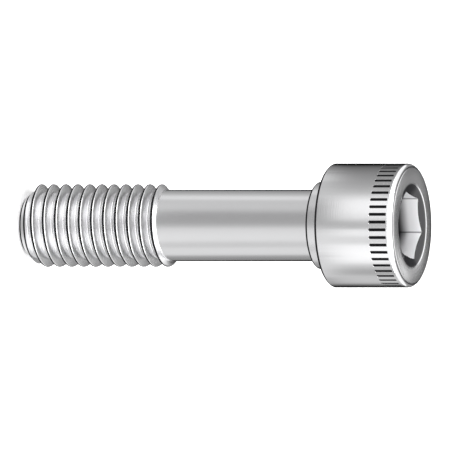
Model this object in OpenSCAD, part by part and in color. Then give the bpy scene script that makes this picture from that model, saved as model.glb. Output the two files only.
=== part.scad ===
// Socket head cap screw with a relieved shank, one solid piece of steel.
// On its side it would roll, so it stands on the flat of its point. The origin is
// on the axis at the end of the point, Z runs up the screw to the top of its head,
// and the sizes along the screw are measured from the point.

/* [Thread] */
// Major diameter, over the crests
thread_d = 12.7; // [10:0.1:16]
// Axial distance from crest to crest (13 turns an inch)
thread_pitch = 1.954; // [1.5:0.001:2.4]
// Threaded length, from the point
thread_length = 23.1; // [12:0.1:30]
// Size of the 45 degree chamfer at the point
point_chamfer = 2.25; // [1:0.05:3]
// Place of a crest on the +X side, as a share of a turn from the point
thread_phase = 0.67; // [0:0.01:0.99]

/* [Shank] */
// Length from the seat to the point
screw_length = 49.8; // [40:0.1:75]
// Depth of the shank below the thread crests
shank_relief = 0.85; // [0.5:0.05:1.1]
// Length of the collar under the head
collar_length = 2.4; // [1:0.1:4]
// Height of the collar above the thread crests
collar_step = 0.35; // [0.1:0.05:0.4]
// Chamfer on the collar's lower edge
collar_chamfer = 0.2; // [0.1:0.05:0.5]
// Radius between the shank and the collar
shank_fillet = 0.4; // [0.1:0.05:0.7]

/* [Head] */
// Head diameter
head_d = 19.05; // [17.5:0.05:24]
// Head height
head_height = 12.7; // [10.5:0.1:16]
// Radius on the edge of the top face
head_edge_r = 0.8; // [0.3:0.05:1.2]
// Chamfer on the edge of the seat
seat_chamfer = 0.3; // [0.1:0.05:0.6]
// Radius between the collar and the seat
seat_fillet = 0.3; // [0.1:0.05:0.6]

/* [Knurl] */
// Distance round the head from groove to groove
knurl_pitch = 1.2; // [0.8:0.05:2]
// Depth of a groove
knurl_depth = 0.25; // [0.1:0.01:0.35]
// Length of a groove along the head
knurl_length = 2.8; // [1:0.1:8]
// Plain land between the grooves and the rounded edge
knurl_land = 0.2; // [0.1:0.05:1]
// Turn of the first groove about the axis
knurl_turn = 0.4; // [0:0.1:7]

/* [Socket] */
// Hexagon across its flats, for a 3/8 inch key
socket_flats = 9.525; // [7:0.005:11.5]
// Depth of the flats below the top face
socket_depth = 6.3; // [4:0.1:8]
// Width of the countersink beyond the corners of the hexagon
countersink_land = 1; // [0.3:0.05:1.2]
// Included angle of the countersink
countersink_angle = 140; // [90:1:150]
// Turn of the hexagon about the axis
socket_turn = 19; // [0:0.5:59]

/* [Hidden] */
$fn = 96;
thread_r = thread_d / 2;
flank_angle = 30; // half of a 60 degree thread
thread_depth = 0.6134 * thread_pitch; // of an external unified thread
root_r = thread_r - thread_depth;
crest_flat = thread_pitch / 8;
root_flat = thread_pitch - crest_flat - 2 * thread_depth * tan(flank_angle);
groove_steps = 40; // stations in each turn of the thread
groove_clear = crest_flat / 3; // the cutter reaches this far outside the crests
runout_clear = 0.03; // and lifts this far clear of the shank
runout_from = thread_length - 0.65 * thread_pitch;
runout_to = thread_length - 0.2 * thread_pitch;
runout_shift = 0.15 * thread_pitch; // widens the last crest
shoulder = 0.15 * thread_pitch;
shank_r = thread_r - shank_relief;
collar_r = thread_r + collar_step;
collar_z = screw_length - collar_length;
head_r = head_d / 2;
seat_z = screw_length;
top_z = seat_z + head_height;
top_flat_r = head_r - head_edge_r;
round_z = top_z - head_edge_r;
knurl_count = round(PI * head_d / knurl_pitch);
knurl_z = round_z - knurl_land - knurl_length;
flats_r = socket_flats / 2;
corners_r = flats_r / cos(30);
countersink_r = corners_r + countersink_land;
drill_gap = 0.15; // the drill is this much smaller than the flats
drill_r = flats_r - drill_gap;
drill_angle = 118;
socket_floor_z = top_z - socket_depth;
over = 1; // cutters stand this far out of the head

// Half the width of the thread groove at a radius
function groove_half(r) = root_flat / 2 + (r - root_r) * tan(flank_angle);

// Rises smoothly from 0 to 1 over the run-out
function runout(z) =
    let (t = min(1, max(0, (z - runout_from) / (runout_to - runout_from))))
    t * t * (3 - 2 * t);

// The corners of the groove's section, its middle at a height z above the point
function groove_section(z) =
    let (
        low = root_r + (shank_r + runout_clear - root_r) * runout(z),
        high = thread_r + groove_clear,
        middle = z + runout_shift * runout(z)
    )
    [for (corner = [[low, -1], [high, -1], [high, 1], [low, 1]])
        [corner[0], middle + corner[1] * groove_half(corner[0])]];

// The helical groove that leaves the thread standing between its turns
module thread_groove() {
    start_z = thread_pitch * (thread_phase - 1.5);
    turns = (thread_length + 0.62 * thread_pitch - start_z) / thread_pitch;
    stations = ceil(turns * groove_steps);
    points = [for (i = [0:stations])
        let (turn = i / groove_steps)
        for (p = groove_section(start_z + turn * thread_pitch))
            [p[0] * cos(360 * turn), p[0] * sin(360 * turn), p[1]]];
    sides = [for (i = [0:stations - 1], j = [0:3])
        let (a = 4 * i + j, b = 4 * i + (j + 1) % 4)
        each [[a, b, a + 4], [b, b + 4, a + 4]]];
    first = [[0, 2, 1], [0, 3, 2]];
    last = [for (f = first) [f[0], f[2], f[1]] + 4 * stations * [1, 1, 1]];
    polyhedron(points, concat(first, sides, last));
}

// A concave round for a corner at the origin, on its right and lower side
module corner_round(r) {
    difference() {
        translate([0, -r])
            square(r);
        translate([r, -r])
            circle(r);
    }
}

// Half of the outline of the threaded bar and the shank
module shank_outline() {
    polygon([
        [0, 0],
        [thread_r - point_chamfer, 0],
        [thread_r, point_chamfer],
        [thread_r, thread_length],
        [shank_r, thread_length + shoulder],
        [shank_r, collar_z],
        [collar_r - collar_chamfer, collar_z],
        [collar_r, collar_z + collar_chamfer],
        [collar_r, seat_z],
        [0, seat_z]
    ]);
    translate([shank_r, collar_z])
        corner_round(shank_fillet);
}

// Half of the outline of the head
module head_outline() {
    polygon([
        [0, seat_z],
        [head_r - seat_chamfer, seat_z],
        [head_r, seat_z + seat_chamfer],
        [head_r, round_z],
        [top_flat_r, round_z],
        [top_flat_r, top_z],
        [0, top_z]
    ]);
    translate([top_flat_r, round_z])
        circle(head_edge_r);
    translate([collar_r, seat_z])
        corner_round(seat_fillet);
}

// Straight grooves round the upper part of the head
module knurl() {
    for (i = [0:knurl_count - 1])
        rotate(knurl_turn + 360 * i / knurl_count)
            translate([head_r, 0, knurl_z])
                linear_extrude(knurl_length)
                    polygon(knurl_depth * [[-1, 0], [1, -2], [1, 2]]);
}

// The key's hexagon, with its countersink and the drill point that it was broached to
module hex_socket() {
    drill_point = drill_r / tan(drill_angle / 2);
    cone_depth = countersink_r / tan(countersink_angle / 2);
    translate([0, 0, socket_floor_z])
        rotate(socket_turn)
            cylinder(r = corners_r, h = socket_depth + over, $fn = 6);
    translate([0, 0, socket_floor_z - drill_point])
        cylinder(r1 = 0, r2 = drill_r, h = drill_point);
    translate([0, 0, top_z - cone_depth])
        cylinder(
            r1 = 0,
            r2 = countersink_r * (cone_depth + over) / cone_depth,
            h = cone_depth + over
        );
}

module cap_screw() {
    color("silver")
        difference() {
            rotate_extrude() {
                shank_outline();
                head_outline();
            }
            thread_groove();
            knurl();
            hex_socket();
        }
}

cap_screw();
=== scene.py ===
from math import atan2, cos, degrees, hypot, pi, radians, sin, tan
import bpy
from mathutils import Matrix, Vector


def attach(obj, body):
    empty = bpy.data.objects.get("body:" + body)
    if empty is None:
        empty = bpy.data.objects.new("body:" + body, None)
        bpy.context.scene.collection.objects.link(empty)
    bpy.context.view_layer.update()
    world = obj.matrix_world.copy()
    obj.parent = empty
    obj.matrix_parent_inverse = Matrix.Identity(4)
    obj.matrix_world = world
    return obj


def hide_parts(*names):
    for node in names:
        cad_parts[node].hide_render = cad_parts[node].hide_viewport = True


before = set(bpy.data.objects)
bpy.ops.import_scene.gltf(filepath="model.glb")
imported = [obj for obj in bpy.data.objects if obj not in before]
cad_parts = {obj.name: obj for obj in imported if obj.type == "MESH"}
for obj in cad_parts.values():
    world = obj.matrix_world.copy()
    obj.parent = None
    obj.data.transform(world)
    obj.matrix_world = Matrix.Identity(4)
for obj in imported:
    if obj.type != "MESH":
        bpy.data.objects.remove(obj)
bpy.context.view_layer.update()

# The screw is modelled in millimetres, upright on its point as the CAD has it, and
# brought to metres when its mesh is finished.


def startFresh():
    if bpy.context.mode != "OBJECT":
        bpy.ops.object.mode_set(mode="OBJECT")
    bpy.ops.object.select_all(action="DESELECT")


def selectVertices(piece, wanted):
    bpy.ops.object.mode_set(mode="EDIT")
    bpy.ops.mesh.select_mode(type="VERT")
    bpy.ops.mesh.select_all(action="DESELECT")
    bpy.ops.object.mode_set(mode="OBJECT")
    for vertex in piece.data.vertices:
        vertex.select = wanted(vertex.co)
    bpy.ops.object.mode_set(mode="EDIT")


def outlinePoints(corners, arcStep=12):
    # (radius, height, rounding) corners to plain points, each rounding an arc
    points = []
    for i, (radius, height, rounding) in enumerate(corners):
        here = Vector((radius, height))
        if not rounding:
            points.append(here)
            continue
        before = (Vector(corners[i - 1][:2]) - here).normalized()
        after = (Vector(corners[i + 1][:2]) - here).normalized()
        turn = pi - before.angle(after)
        reach = rounding * tan(turn / 2)
        steps = max(2, round(degrees(turn) / arcStep))
        centre = here + (before + after).normalized() * rounding / cos(turn / 2)
        first = here + before * reach - centre
        last = here + after * reach - centre
        swing = -first.angle_signed(last)  # angle_signed counts clockwise
        for k in range(steps + 1):
            points.append(centre + Matrix.Rotation(swing * k / steps, 2) @ first)
    return points


def drawLathe(name, points, segments, turned):
    # a ring at the first point, extruded and scaled from point to point
    startFresh()
    radius, height = points[0]
    bpy.ops.mesh.primitive_circle_add(
        vertices=segments,
        radius=radius,
        location=(0, 0, height),
        rotation=(0, 0, radians(turned)),
    )
    piece = bpy.context.object
    piece.name = name
    bpy.ops.object.transform_apply(location=True, rotation=True, scale=True)
    bpy.ops.object.mode_set(mode="EDIT")
    bpy.ops.mesh.select_all(action="SELECT")
    bpy.ops.mesh.edge_face_add()
    nearAxis = 0.001  # a ring this small is merged into one point
    for nextRadius, nextHeight in points[1:]:
        nextRadius = max(nextRadius, nearAxis)
        share = nextRadius / radius
        move = {"value": (0, 0, nextHeight - height)}
        bpy.ops.mesh.extrude_region_move(TRANSFORM_OT_translate=move)
        bpy.ops.transform.resize(value=(share, share, 1), center_override=(0, 0, nextHeight))
        radius, height = nextRadius, nextHeight
    if radius == nearAxis:
        bpy.ops.mesh.merge(type="CENTER")
    bpy.ops.mesh.select_all(action="SELECT")
    bpy.ops.mesh.normals_make_consistent(inside=False)
    bpy.ops.object.mode_set(mode="OBJECT")
    return piece


def cutWith(piece, cutter):
    startFresh()
    bpy.context.view_layer.objects.active = piece
    piece.select_set(True)
    modifier = piece.modifiers.new("cut", "BOOLEAN")
    modifier.operation = "DIFFERENCE"
    modifier.solver = "EXACT"
    modifier.object = cutter
    bpy.ops.object.modifier_apply(modifier=modifier.name)
    bpy.data.objects.remove(cutter)


screw = {
    "length": 49.8,  # from the point to the seat of the head
    "segments": 500,
    # thread
    "threadRadius": 6.35,
    "threadLength": 23.1,
    "pitch": 1.954,
    "crestTurn": 0.67,  # height of a crest on the +X side, in turns
    "crestRound": 0.25,  # radius of a crest's upper edge
    "crestFlare": 0.07,  # rounds a crest's lower edge over
    "flankAngle": 30,
    "threadDepth": 0.6134,  # in pitches
    "pointChamfer": 2.25,
    "threadSteps": 144,  # in each turn
    "threadTurns": 13.16,  # that the cutter makes
    # run-out, measured in pitches from the thread's end
    "floorRise": (-0.65, -0.2),  # the groove's floor comes up to the shank
    "sideSteepens": (-0.15, 0.1),  # and its lower side gets steep
    "sideMove": 0.3,
    "steepness": 0.8,
    # shank and collar
    "shankRadius": 5.5,
    "shankRound": 0.4,
    "shoulder": 0.15,  # in pitches
    "collarRadius": 6.7,
    "collarLength": 2.4,
    "collarChamfer": 0.2,
    # head
    "headRadius": 9.5245,
    "headHeight": 12.7,
    "headRound": 0.8,
    "seatChamfer": 0.3,
    "seatRound": 0.3,
    # knurl
    "grooves": 50,
    "grooveTurn": 0.4,  # degrees
    "grooveDepth": 0.25,
    "grooveLength": 2.8,
    "grooveLand": 0.2,
    "grooveRamps": ((0.06, 0.6), (0.15, 1)),  # way from the groove's end, share of its depth
    # socket
    "hexFlats": 9.525,
    "hexDepth": 6.3,
    "hexTurn": 19,
    "hexCorners": 0.1,
    "drillGap": 0.15,  # the drill is this much smaller than the flats
    "drillAngle": 118,
    "rimRadius": 6.4993,  # of the countersink
    "rimAngle": 140,
    "rimRound": 1.2,
}


def makeBlank(s):
    threadEnd, seat = s["threadLength"], s["length"]
    collarZ = seat - s["collarLength"]
    top = seat + s["headHeight"]
    grooveTop = top - s["headRound"] - s["grooveLand"]
    grooveEnd = grooveTop - s["grooveLength"]
    ramps = [way for way, share in s["grooveRamps"]]
    bandHeights = [grooveEnd] + [grooveEnd + way for way in ramps]
    bandHeights += [grooveTop - way for way in reversed(ramps)] + [grooveTop]
    coneDepth = s["rimRadius"] / tan(radians(s["rimAngle"] / 2))
    # radius, height, rounding
    corners = [
        (s["threadRadius"] - s["pointChamfer"], 0, 0.12),
        (s["threadRadius"], s["pointChamfer"], 0.15),
        (s["threadRadius"], threadEnd, 0.1),
        (s["shankRadius"], threadEnd + s["shoulder"] * s["pitch"], 0.3),
        (s["shankRadius"], collarZ, s["shankRound"]),
        (s["collarRadius"] - s["collarChamfer"], collarZ, 0.06),
        (s["collarRadius"], collarZ + s["collarChamfer"], 0.08),
        (s["collarRadius"], seat, s["seatRound"]),
        (s["headRadius"] - s["seatChamfer"], seat, 0.1),
        (s["headRadius"], seat + s["seatChamfer"], 0.15),
        *((s["headRadius"], height, 0) for height in bandHeights),
        (s["headRadius"], top, s["headRound"]),
        (s["rimRadius"], top, s["rimRound"]),
        (0, top - coneDepth, 0),
    ]
    points = outlinePoints([(0, 0, 0)] + corners)[1:]
    blank = drawLathe("socketHeadScrew", points, s["segments"], s["grooveTurn"])

    # knurl: every tenth line of the mesh is a groove's floor, and its neighbours the sides
    step = 360 / s["segments"]
    perGroove = s["segments"] // s["grooves"]

    def grooveLine(place):
        return round((degrees(atan2(place.y, place.x)) - s["grooveTurn"]) / step) % perGroove

    def onBand(place, height):
        return abs(place.z - height) < 0.01 and hypot(place.x, place.y) > s["headRadius"] - 0.01

    for sideShare, lines in ((1, (0,)), (0.5, (1, perGroove - 1))):
        for way, rampShare in s["grooveRamps"]:
            for height in (grooveEnd + way, grooveTop - way):
                selectVertices(
                    blank, lambda place: onBand(place, height) and grooveLine(place) in lines
                )
                share = 1 - s["grooveDepth"] * sideShare * rampShare / s["headRadius"]
                bpy.ops.transform.resize(
                    value=(share, share, 1), center_override=(0, 0, height)
                )
                bpy.ops.object.mode_set(mode="OBJECT")
    return blank


def smoothShare(value, begin, end):
    share = min(1, max(0, (value - begin) / (end - begin)))
    return share * share * (3 - 2 * share)


def grooveSection(s):
    # the thread groove's outline as (radius, height), its middle at height 0
    pitch, crest, rounding = s["pitch"], s["threadRadius"], s["crestRound"]
    depth = s["threadDepth"] * pitch
    root = crest - depth
    slope = tan(radians(s["flankAngle"]))
    mouthHalf = (pitch - pitch / 8) / 2  # a crest is an eighth of the pitch wide
    rootHalf = mouthHalf - depth * slope
    mouth = crest + 0.015  # the cutter reaches this far out, so that it cuts clean
    rim = mouth + 0.05
    rootRound = 0.11
    # the crest's upper edge is one arc, from 20 degrees off the crest down to the flank
    fromFlank, toCrest = 90 - s["flankAngle"], 20
    slant = radians(fromFlank)
    arcRadius = crest - rounding
    arcHeight = pitch / 16 + rounding * (cos(slant) - 1) / sin(slant) - pitch / 2
    arc = [
        Vector((arcRadius + rounding * cos(radians(a)), arcHeight + rounding * sin(radians(a))))
        for a in range(fromFlank, toCrest - 5, -8)
    ]
    arcTop = arc[-1].y - (mouth - arc[-1].x) / tan(radians(toCrest))
    upper = [
        (rim, 0, 0),
        (rim, mouthHalf + s["crestFlare"], 0),
        (mouth, mouthHalf + s["crestFlare"], 0),
        (crest - 0.06, mouthHalf - 0.06 * slope, 0.08),
        (root, rootHalf, rootRound),
        (root, 0, 0),
    ]
    lower = [(root, 0, 0), (root, -rootHalf, rootRound), (arc[0].x, arc[0].y, 0)]
    section = outlinePoints(upper, 10) + outlinePoints(lower, 10)[1:-1] + arc
    return section + [Vector((mouth, arcTop)), Vector((rim, arcTop))]


def makeThreadCutter(s):
    pitch = s["pitch"]
    root = s["threadRadius"] - s["threadDepth"] * pitch
    start = pitch * (s["crestTurn"] - 1.5)
    section = grooveSection(s)
    startFresh()
    bpy.ops.mesh.primitive_circle_add(vertices=len(section), radius=1)
    cutter = bpy.context.object
    for vertex, (radius, height) in zip(cutter.data.vertices, section):
        vertex.co = (radius, 0, start + height)
    modifier = cutter.modifiers.new("turns", "SCREW")
    modifier.angle = 2 * pi * s["threadTurns"]
    modifier.screw_offset = pitch * s["threadTurns"]
    modifier.steps = modifier.render_steps = round(s["threadSteps"] * s["threadTurns"])
    bpy.ops.object.modifier_apply(modifier=modifier.name)

    # run-out: the groove's floor comes up to the shank over the last half turn, its upper
    # side moves off the thread's end and its lower side gets steep behind the last crest
    lift = s["shankRadius"] - 0.003  # just inside the shank, so that no skin is left on it
    slope = tan(radians(s["flankAngle"]))
    for vertex in cutter.data.vertices:
        place = vertex.co
        turn = atan2(place.y, place.x) / (2 * pi)
        middle = start + pitch * (turn + round((place.z - start) / pitch - turn))
        fromEnd = (middle - s["threadLength"]) / pitch
        share = smoothShare(fromEnd, *s["floorRise"])
        radius = hypot(place.x, place.y)
        wanted = max(radius, root + (lift - root) * share)
        place.x *= wanted / radius
        place.y *= wanted / radius
        if place.z > middle + 0.01:
            place.z += s["sideMove"] * pitch * share
        elif place.z < middle - 0.01:
            steep = s["steepness"] * smoothShare(fromEnd, *s["sideSteepens"])
            place.z -= max(0, s["threadRadius"] - wanted) * slope * steep
    bpy.ops.object.mode_set(mode="EDIT")
    bpy.ops.mesh.select_all(action="SELECT")
    bpy.ops.mesh.fill_holes(sides=0)
    bpy.ops.mesh.select_all(action="SELECT")
    bpy.ops.mesh.normals_make_consistent(inside=False)
    bpy.ops.object.mode_set(mode="OBJECT")
    return cutter


def makeHexCutter(s):
    floor = s["length"] + s["headHeight"] - s["hexDepth"]
    height = s["hexDepth"] + 1  # it stands 1 mm out of the head
    startFresh()
    bpy.ops.mesh.primitive_cylinder_add(
        vertices=6,
        radius=s["hexFlats"] / 2 / cos(radians(30)),
        depth=height,
        location=(0, 0, floor + height / 2),
        rotation=(0, 0, radians(s["hexTurn"] - 30)),
    )
    cutter = bpy.context.object
    bpy.ops.object.transform_apply(location=True, rotation=True, scale=True)
    bpy.ops.object.mode_set(mode="EDIT")
    bpy.ops.mesh.select_mode(type="EDGE")
    bpy.ops.mesh.select_all(action="DESELECT")
    bpy.ops.object.mode_set(mode="OBJECT")
    for edge in cutter.data.edges:
        a, b = (cutter.data.vertices[i].co for i in edge.vertices)
        edge.select = abs(a.z - b.z) > 1
    bpy.ops.object.mode_set(mode="EDIT")
    bpy.ops.mesh.bevel(offset=s["hexCorners"], segments=3)
    bpy.ops.object.mode_set(mode="OBJECT")
    return cutter


def makeDrillCutter(s):
    floor = s["length"] + s["headHeight"] - s["hexDepth"]
    radius = s["hexFlats"] / 2 - s["drillGap"]
    tip = floor - radius / tan(radians(s["drillAngle"] / 2))
    points = outlinePoints([(radius, floor + 1, 0), (radius, floor, 0), (0, tip, 0)])
    return drawLathe("drill", points, 128, 0)


def finishPiece(piece):
    startFresh()
    bpy.context.view_layer.objects.active = piece
    piece.select_set(True)
    bpy.ops.object.mode_set(mode="EDIT")
    bpy.ops.mesh.select_all(action="SELECT")
    bpy.ops.mesh.remove_doubles(threshold=0.0005)
    bpy.ops.mesh.normals_make_consistent(inside=False)
    bpy.ops.transform.resize(value=(0.001, 0.001, 0.001), center_override=(0, 0, 0))
    bpy.ops.object.mode_set(mode="OBJECT")
    bpy.ops.object.shade_smooth_by_angle(angle=radians(32))


body = makeBlank(screw)
print("blank", len(body.data.polygons))
cutWith(body, makeThreadCutter(screw))
print("thread cut", len(body.data.polygons))
cutWith(body, makeHexCutter(screw))
cutWith(body, makeDrillCutter(screw))
finishPiece(body)
print("screw", len(body.data.polygons), "faces")


class Amount:
    # a socket that Python's own arithmetic works on
    def __init__(self, maker, socket):
        self.maker = maker
        self.socket = socket

    def maths(self, operation, *values):
        return self.maker.add(
            "ShaderNodeMath", {"operation": operation}, dict(enumerate(values))
        )

    def __add__(self, other):
        return self.maths("ADD", self, other)

    def __radd__(self, other):
        return self.maths("ADD", other, self)

    def __sub__(self, other):
        return self.maths("SUBTRACT", self, other)

    def __rsub__(self, other):
        return self.maths("SUBTRACT", other, self)

    def __mul__(self, other):
        return self.maths("MULTIPLY", self, other)

    def __rmul__(self, other):
        return self.maths("MULTIPLY", other, self)

    def __truediv__(self, other):
        return self.maths("DIVIDE", self, other)

    def __pow__(self, other):
        return self.maths("POWER", self, other)

    def fraction(self):
        return self.maths("FRACT", self)

    def orMore(self, other):
        return self.maths("MAXIMUM", self, other)

    def angleFrom(self, other):
        return self.maths("ARCTAN2", self, other)


class MaterialMaker:
    def __init__(self, name):
        self.material = bpy.data.materials.new(name)
        self.material.use_nodes = True
        self.tree = self.material.node_tree
        self.tree.nodes.clear()

    def add(self, kind, settings=None, inputs=None, output=0):
        node = self.tree.nodes.new(kind)
        for key, value in (settings or {}).items():
            setattr(node, key, value)
        for key, value in (inputs or {}).items():
            socket = node.inputs[key]
            if isinstance(value, Amount):
                self.tree.links.new(value.socket, socket)
            else:
                socket.default_value = value
        return Amount(self, node.outputs[output]) if node.outputs else None

    def split(self, vector):
        node = self.add("ShaderNodeSeparateXYZ", inputs={0: vector}).socket.node
        return [Amount(self, socket) for socket in node.outputs]

    def place(self):
        return self.add("ShaderNodeTexCoord", output="Object")

    def step(self, value, low, high):
        # 0 below low, 1 above high, smooth between
        return self.add(
            "ShaderNodeMapRange",
            {"interpolation_type": "SMOOTHSTEP"},
            {"Value": value, "From Min": low, "From Max": high},
        )

    def between(self, value, low, high, soft):
        return self.step(value, low - soft, low) * (1 - self.step(value, high, high + soft))

    def finish(self, piece, surface):
        self.add("ShaderNodeOutputMaterial", inputs={"Surface": surface})
        piece.data.materials.clear()
        piece.data.materials.append(self.material)


steel = {
    "colour": (0.80, 0.80, 0.81, 1),
    "roughness": 0.15,
    "flankRoughness": 0.28,
    "socketRoughness": 0.5,
    "cloudiness": 0.04,  # how far the roughness wanders
    "marks": 0.05,  # and how far the turned marks change it
    "bump": 0.6,
    "bumpDepth": 0.00002,
    "shankMarks": 0.2,  # depth of the turned marks off the top face
    # painted shade: a flat black matte that stands in for shade on the thread, point, knurl,
    # corners and socket
    "paintedShade": (0.012, 0.012, 0.013, 1),
    "paintedShadeRoughness": 0.9,
    # how strong the painted shade is, where it isn't full
    "edgeShade": 0.1,
    "rootShade": 0.35,
    "coneShade": 0.93,
    "cornerShade": 0.7,
    # lines along the thread, in shares of a turn from a crest's middle
    "underCrest": (-0.24, 0.052),
    "crestEdge": (0.052, 0.12),
    "roughFlank": (0.08, 0.42),
    "lineSoft": 0.008,
    "flankSoft": 0.03,
    # radii in mm, each from where a patch begins to where it is whole
    "underCrestFrom": (5.72, 5.78),
    "crestEdgeFrom": (6.1, 6.14),
    "aboveRoot": (5.17, 5.23),
    "underHeadFrom": (6.75, 6.8),
    "underCollarFrom": (5.7, 5.8),
    "outsideSocket": (5.6, 5.7),
    "hexCornerFrom": (5.42, 5.45),
    # heights in mm, likewise
    "aboveFoot": (0.3, 0.4),
    "abovePoint": (2.2, 2.3),
    "runOutFrom": (22.0, 22.1),
    "socketFrom": (52.0, 52.1),
    "shadeLiftedFrom": (58.4, 60.5),
    # lowest and highest place of a patch, in mm
    "pointLine": (-0.7, -0.05),  # from the first turn's edge
    "runOutRadii": (5.4, 5.54),
    "coneHeights": (59.0, 63.0),
    "threadFrom": 1.2,
    "knurlFrom": 8.9,
    # how far up a surface faces, from 0 for a wall to 1 for a floor
    "coneUpward": (0.9, 0.95),
    "socketUpward": (0.5, 0.8),
    "upwardSoft": 0.03,
    # widths over which a patch fades out, in mm
    "soft": 0.05,
    "runOutSoft": 0.03,
    "threadSoft": 0.2,
    "coneSoft": 0.5,
    "knurlSoft": 0.005,
}


def makeSteel(piece, s, size):
    m = MaterialMaker("brightSteel")
    place = m.place()
    x, y, z = (axis * 1000 for axis in m.split(place))
    radius = (x * x + y * y) ** 0.5
    upward = m.split(m.add("ShaderNodeTexCoord", output="Normal"))[2]

    rings = m.add("ShaderNodeCombineXYZ", inputs={0: radius * 3, 1: z * 3, 2: 0.0})
    fine = m.add("ShaderNodeTexNoise", inputs={"Vector": rings, "Scale": 2.0, "Detail": 3.0})
    cloud = m.add("ShaderNodeTexNoise", inputs={"Vector": place, "Scale": 180.0, "Detail": 2.0})

    pitch, crest, seat = size["pitch"], size["threadRadius"], size["length"]
    end = size["threadLength"]
    top = seat + size["headHeight"]
    collarZ = seat - size["collarLength"]
    grooveTop = top - size["headRound"] - size["grooveLand"]
    grooveEnd = grooveTop - size["grooveLength"]

    # Painted shade, as a black matte mixed into the steel where shade falls. On the thread it
    # lies under the crests and thinner in the root.
    turns = z / pitch - y.angleFrom(x) / (2 * pi) - size["crestTurn"]  # whole on a crest
    fromCrest = (turns + 0.5).fraction() - 0.5
    onThread = m.between(z, s["threadFrom"], end - 0.1, s["threadSoft"])
    underCrest = m.between(fromCrest, *s["underCrest"], s["lineSoft"]) * onThread
    underCrest = underCrest * m.step(radius, *s["underCrestFrom"])
    crestEdge = m.between(fromCrest, *s["crestEdge"], s["lineSoft"]) * onThread
    crestEdge = crestEdge * m.step(radius, *s["crestEdgeFrom"])
    inRoot = m.between(z, s["threadFrom"], end + 0.1, s["threadSoft"])
    inRoot = inRoot * (1 - m.step(radius, *s["aboveRoot"]))
    onRunOut = m.between(radius, *s["runOutRadii"], s["runOutSoft"])
    onRunOut = onRunOut * m.step(z, *s["runOutFrom"])
    onFlank = m.between(fromCrest, *s["roughFlank"], s["flankSoft"]) * onThread
    onFlank = onFlank * (1 - onRunOut)

    # painted shade on the chamfered point: along its lower edge, and below the first turn's
    # edge
    slope = tan(radians(size["flankAngle"]))
    onPoint = 1 - m.step(z, *s["abovePoint"])
    fromEdge = fromCrest * pitch - pitch / 16 - (crest - radius) * slope
    pointLines = onPoint * m.between(fromEdge, *s["pointLine"], s["soft"])
    pointLines = pointLines.orMore(1 - m.step(z, *s["aboveFoot"]))

    # painted shade on the head: in the knurl, in the corners under the head and the collar, on
    # the countersink, and in the socket, darker towards the bottom and lighter upwards, but not
    # in the corners
    knurlTo = size["headRadius"] - 0.0085  # just under the skin between the grooves
    inKnurl = m.between(z, grooveEnd - 0.1, grooveTop + 0.1, s["soft"])
    inKnurl = inKnurl * m.between(radius, s["knurlFrom"], knurlTo, s["knurlSoft"])
    underHead = m.between(z, seat - 0.1, seat + 0.4, s["soft"])
    underHead = underHead * m.step(radius, *s["underHeadFrom"])
    underCollar = m.between(z, collarZ - 0.1, collarZ + 0.3, s["soft"])
    underCollar = underCollar * m.step(radius, *s["underCollarFrom"])
    onCone = m.between(z, *s["coneHeights"], s["coneSoft"])
    onCone = onCone * m.between(upward, *s["coneUpward"], s["upwardSoft"])
    inSocket = m.step(z, *s["socketFrom"]) * (1 - m.step(radius, *s["outsideSocket"]))
    inSocket = inSocket * (1 - m.step(upward, *s["socketUpward"]))
    hexCorner = m.step(radius, *s["hexCornerFrom"])
    shadeLifted = m.step(z, *s["shadeLiftedFrom"]) * (1 - hexCorner * s["cornerShade"])
    onFace = m.step(z, top - 0.05, top - 0.01)

    # painted shade: how much of the black matte goes over the steel, from all the masks
    paintedShade = underCrest
    for spot in (
        crestEdge * s["edgeShade"],
        inRoot * s["rootShade"],
        pointLines,
        inKnurl,
        underHead,
        underCollar,
        onCone * s["coneShade"],
        inSocket * (1 - shadeLifted),
    ):
        paintedShade = paintedShade.orMore(spot)

    rough = s["roughness"] + (fine - 0.5) * s["marks"] + (cloud - 0.5) * s["cloudiness"]
    rough = rough + inSocket * (s["socketRoughness"] - s["roughness"])
    rough = rough + onFlank * (s["flankRoughness"] - s["roughness"])
    marks = fine * (s["shankMarks"] + onFace * (1 - s["shankMarks"]))
    bump = m.add(
        "ShaderNodeBump",
        inputs={"Strength": s["bump"], "Distance": s["bumpDepth"], "Height": marks},
    )
    metal = m.add(
        "ShaderNodeBsdfPrincipled",
        inputs={"Base Color": s["colour"], "Metallic": 1.0, "Roughness": rough, "Normal": bump},
    )
    # painted shade: a black matte surface, mixed in by the masks above
    paintedShadeSurface = m.add(
        "ShaderNodeBsdfPrincipled",
        inputs={
            "Base Color": s["paintedShade"],
            "Roughness": s["paintedShadeRoughness"],
            "Specular IOR Level": 0.0,
        },
    )
    m.finish(piece, m.add("ShaderNodeMixShader", inputs={0: paintedShade, 1: metal, 2: paintedShadeSurface}))


makeSteel(body, steel, screw)
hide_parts("cap_screw")
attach(body, "root")
print("steel done")

view = {
    "elevation": 19.5,
    "width": 0.0690,
    "centre": (0.030191, 0.0000767),
    "distance": 0.4,
}


def addCamera(s):
    startFresh()
    e = radians(s["elevation"])
    back = Vector((0, -cos(e), sin(e)))
    right = Vector((0, sin(e), cos(e)))
    up = Vector((-1, 0, 0))
    bpy.ops.object.camera_add()
    camera = bpy.context.object
    camera.data.type = "ORTHO"
    camera.data.ortho_scale = s["width"]
    camera.data.clip_start, camera.data.clip_end = 0.01, 10
    turn = Matrix((right, up, back)).transposed().to_4x4()
    turn.translation = right * s["centre"][0] + up * s["centre"][1] + back * s["distance"]
    camera.matrix_world = turn
    bpy.context.scene.camera = camera


def finishCard(card, m, tone):
    # seen in the steel's shine alone, like the cards that a photographer sets round it
    m.finish(card, m.add("ShaderNodeEmission", inputs={"Color": tone}))
    card.visible_camera = card.visible_diffuse = card.visible_shadow = False
    card.visible_transmission = card.visible_volume_scatter = False


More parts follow.
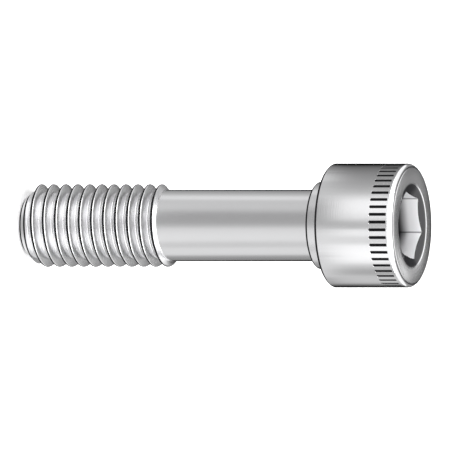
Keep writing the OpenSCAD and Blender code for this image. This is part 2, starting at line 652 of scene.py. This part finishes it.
ringLook = {
    "radius": 0.7,
    "height": 0.0002,
    # light that the steel shows below the horizon, by the turn from the front: on the
    # thread (inner ring), on the shank (middle ring) and on the head (outer ring)
    "inner": (
        (-180, 0.03), (-160, 0.1), (-140, 0.4), (-110, 0.6), (-84, 0.66), (-50, 1.0),
        (-28, 0.85), (0, 0.52), (25, 0.8), (42, 0.95), (82, 0.56), (110, 0.5), (140, 0.4),
        (160, 0.1), (180, 0.03),
    ),
    "middle": (
        (-180, 0.0), (-160, 0.0), (-141, 0.25), (-128, 0.30), (-115, 0.41), (-98, 0.72),
        (-81, 0.72), (-65, 0.60), (-40, 0.75), (-20, 0.72), (0, 0.48), (14, 0.36),
        (28, 0.34), (45, 0.44), (60, 0.56), (84, 0.58), (98, 0.74), (112, 0.56),
        (132, 0.36), (147, 0.24), (160, 0.0), (180, 0.0),
    ),
    "outer": (
        (-180, 0.0), (-160, 0.0), (-141, 0.20), (-122, 0.53), (-108, 0.52), (-96, 0.37),
        (-86, 0.46), (-76, 0.65), (-58, 1.0), (-50, 1.0), (-36, 0.90), (-28, 0.66),
        (-20, 0.74), (-12, 0.86), (-5, 0.50), (0, 0.45), (10, 0.66), (20, 0.84),
        (37, 0.92), (50, 0.76), (66, 0.44), (84, 0.32), (110, 0.225), (136, 0.12),
        (156, 0.0), (180, 0.0),
    ),
    "levels": (1.72, 1.17, 1.25),
    # metres from the axis over which the middle and the outer ring take over
    "middleFrom": (0.059, 0.063),
    "outerFrom": (0.120, 0.145),
    # the inner ring's share at the screw's foot, and its changes further out
    "foot": 0.6,
    "footChanges": ((0.0045, 0.0075, 0.4), (0.029, 0.033, -0.35)),  # from, to, change
}


def ringTone(m, turn, stops):
    curve = m.add("ShaderNodeFloatCurve", inputs={"Value": turn})
    mapping = curve.socket.node.mapping
    points = mapping.curves[0].points
    places = [((angle + 180) / 360, tone) for angle, tone in stops]
    for share, tone in places[1:-1]:
        points.new(share, tone)
    for point, place in zip(points, places):
        point.location = place
    mapping.update()
    return curve


def makeRingCard(s):
    startFresh()
    bpy.ops.mesh.primitive_circle_add(
        vertices=96, radius=s["radius"], fill_type="NGON", location=(0, 0, s["height"])
    )
    card = bpy.context.object
    card.name = "ringCard"
    m = MaterialMaker("ringCard")
    x, y = m.split(m.place())[:2]
    # turn from the front (-Y) towards -X, -180 to 180 brought to 0 to 1
    turn = (x * -1).angleFrom(y * -1) / (2 * pi) + 0.5
    distance = (x * x + y * y) ** 0.5
    inner, middle, outer = (
        ringTone(m, turn, s[name]) * level
        for name, level in zip(("inner", "middle", "outer"), s["levels"])
    )
    share = s["foot"]
    for begin, end, change in s["footChanges"]:
        share = share + change * m.step(distance, begin, end)
    onShank = m.step(distance, *s["middleFrom"])
    onHead = m.step(distance, *s["outerFrom"])
    tone = inner * (1 - onShank) * share + middle * (onShank - onHead) + outer * onHead
    finishCard(card, m, tone)


skyLook = {
    "radius": 0.8,
    "base": 0.3,
    # each light's level, and where in the sky it sets in or fades out: by the direction's
    # y or z, and across and to the sides by the square of its x
    "front": 3.8,
    "frontTo": (-0.1, 0.12),
    "sides": 0.9,
    "sidesFrom": (0.26, 0.34),
    "overhead": 1.2,
    "overheadFrom": (0.5, 0.56),
    "overheadAcross": (0.09, 0.16),
    "behind": -0.2,
    "behindFrom": (0.86, 0.92),
    "behindAcross": (0.04, 0.09),
}


def makeSkyCard(s):
    startFresh()
    bpy.ops.mesh.primitive_uv_sphere_add(segments=96, ring_count=48, radius=s["radius"])
    sky = bpy.context.object
    sky.name = "skyCard"
    m = MaterialMaker("skyCard")
    x, y, z = (axis * (1 / s["radius"]) for axis in m.split(m.place()))  # a direction
    across = x * x
    front = 1 - m.step(y, *s["frontTo"])
    sides = m.step(across, *s["sidesFrom"])
    overhead = m.step(z, *s["overheadFrom"]) * (1 - m.step(across, *s["overheadAcross"]))
    overhead = overhead * (1 - front)
    behind = m.step(y, *s["behindFrom"]) * (1 - m.step(across, *s["behindAcross"]))
    tone = s["base"] + front * s["front"] + sides * s["sides"]
    tone = tone + overhead * s["overhead"] + behind * s["behind"]
    finishCard(sky, m, tone)


faceLook = {
    "size": (0.024, 0.0074),
    "back": 0.03,
    "height": 0.07315,
    "tone": 0.185,
    # light patches on the head's face: x, y, whole to, gone from (mm) and level
    "patches": (
        (6.3, -6.2, 1.0, 6.2, 1.2),
        (-6.0, -7.0, 0.5, 3.5, 0.45),
        (-6.5, 3.0, 1.0, 4.5, 0.15),
    ),
}


def makeFaceCard(s, top, elevation):
    # a small card behind the head, which its top face shows: grey, lighter to the front
    startFresh()
    bpy.ops.mesh.primitive_plane_add(size=1)
    card = bpy.context.object
    card.name = "faceCard"
    bpy.ops.object.mode_set(mode="EDIT")
    bpy.ops.transform.resize(value=(*s["size"], 1))
    bpy.ops.transform.rotate(value=-pi / 2, orient_axis="X", center_override=(0, 0, 0))
    bpy.ops.transform.translate(value=(0, s["back"], s["height"]))
    bpy.ops.object.mode_set(mode="OBJECT")
    m = MaterialMaker("faceCard")
    axes = m.split(m.place())
    x, z = axes[0] * 1000, axes[2] * 1000
    # the place on the face that shows this place on the card, in mm
    y = s["back"] * 1000 - (z - top) / tan(radians(elevation))
    tone = 0.0
    for middleX, middleY, near, far, level in s["patches"]:
        away = ((x - middleX) ** 2 + (y - middleY) ** 2) ** 0.5
        tone = tone + (1 - m.step(away, near, far)) * level
    finishCard(card, m, tone + s["tone"])


floorLook = {
    "reach": 1.5,
    "colour": (0.9, 0.9, 0.9, 1),
    "roughness": 0.8,
    "glow": 0.4,
}


def makeFloor(s):
    startFresh()
    bpy.ops.mesh.primitive_plane_add(size=2 * s["reach"])
    floor = bpy.context.object
    floor.name = "floor"
    m = MaterialMaker("paleFloor")
    pale = m.add(
        "ShaderNodeBsdfPrincipled",
        inputs={
            "Base Color": s["colour"],
            "Roughness": s["roughness"],
            "Emission Color": s["colour"],
            "Emission Strength": s["glow"],
        },
    )
    m.finish(floor, pale)


light = {
    "place": (0, -0.05, 0.9),
    "size": 1.0,
    "watts": 14,
    "fill": 0.7,
}


def addLight(s):
    world = bpy.data.worlds.new("studio")
    bpy.context.scene.world = world
    world.use_nodes = True
    background = world.node_tree.nodes["Background"]
    background.inputs["Color"].default_value = (1, 1, 1, 1)
    background.inputs["Strength"].default_value = s["fill"]
    startFresh()
    bpy.ops.object.light_add(type="AREA", location=s["place"])
    lamp = bpy.context.object
    lamp.data.size = s["size"]
    lamp.data.energy = s["watts"]
    lamp.visible_glossy = False
    bpy.context.scene.view_settings.view_transform = "Standard"


makeRingCard(ringLook)
makeSkyCard(skyLook)
makeFaceCard(faceLook, screw["length"] + screw["headHeight"], view["elevation"])
makeFloor(floorLook)
addCamera(view)
addLight(light)
print("studio done")
